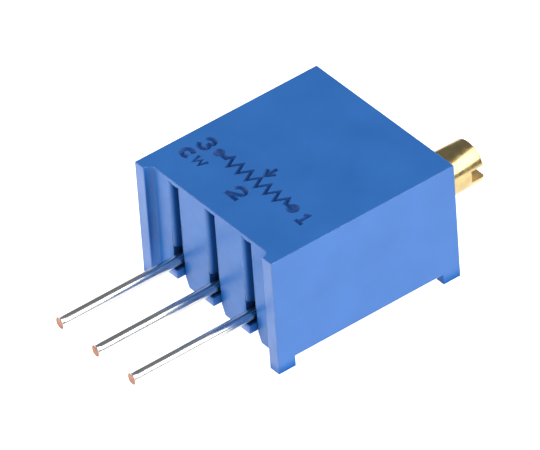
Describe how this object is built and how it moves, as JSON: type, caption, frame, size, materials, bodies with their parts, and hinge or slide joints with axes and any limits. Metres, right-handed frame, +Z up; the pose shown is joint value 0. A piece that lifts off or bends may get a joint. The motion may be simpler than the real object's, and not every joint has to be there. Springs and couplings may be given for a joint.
{
  "type": "trimmer potentiometer",
  "caption": "Square blue plastic multi-turn trimmer potentiometer: a slotted brass lead screw moves a wiper along a resistance film; round solder pins leave the opposite side.",
  "frame": {"origin": "under the middle of the whole length, on the plane of the feet", "axes": "+X across the pins towards the first pin and the screw's side, +Y towards the screw head, +Z up through the marked face"},
  "size_m": [0.0096, 0.018, 0.0061],
  "materials": {
    "blue_plastic": "semi-gloss, moulded",
    "sealing_resin": "cast, glossy",
    "screw_brass": "turned, bright",
    "seal_rubber": "satin",
    "clip_steel": "stamped",
    "carriage_plastic": "moulded, natural",
    "spring_alloy": "stamped strip",
    "brush_wire": "drawn wire",
    "alumina": "fired, matt",
    "resistance_ink": "fired film",
    "conductor_film": "fired silver film",
    "tinned_copper": "tinned, bright, with bare copper cut ends",
    "solder": "reflowed, satin"
  },
  "bodies": {
    "case": {"housing": "blue_plastic", "back_cover": "blue_plastic", "epoxy_seal": "sealing_resin", "screw_o_ring": "seal_rubber", "retaining_clip": "clip_steel", "ceramic_plate": "alumina", "resistance_film": "resistance_ink", "collector_film": "conductor_film", "end_film_1": "conductor_film", "end_film_3": "conductor_film", "terminal_1": "tinned_copper", "terminal_2": "tinned_copper", "terminal_3": "tinned_copper", "solder_joint_1": "solder", "solder_joint_2": "solder", "solder_joint_3": "solder"},
    "adjuster": {"lead_screw": "screw_brass"},
    "slider": {"carriage": "carriage_plastic", "contact_spring": "spring_alloy", "resistance_brush": "brush_wire", "collector_brush": "brush_wire"}
  },
  "joints": [
    {"name": "screw_turn", "type": "hinge", "parent": "case", "child": "adjuster", "pos_m": [0.00357, 0.008, 0.00477], "axis": [0, -1, 0], "range_deg": [-4500, 4500]},
    {"name": "carriage_slide", "type": "slide", "parent": "case", "child": "slider", "axis": [0, 1, 0], "range_m": [-0.0025, 0.0025]}
  ],
  "couplings": [
    {"joint": "screw_turn", "follows": "carriage_slide", "rad_per_m": 31416}
  ]
}
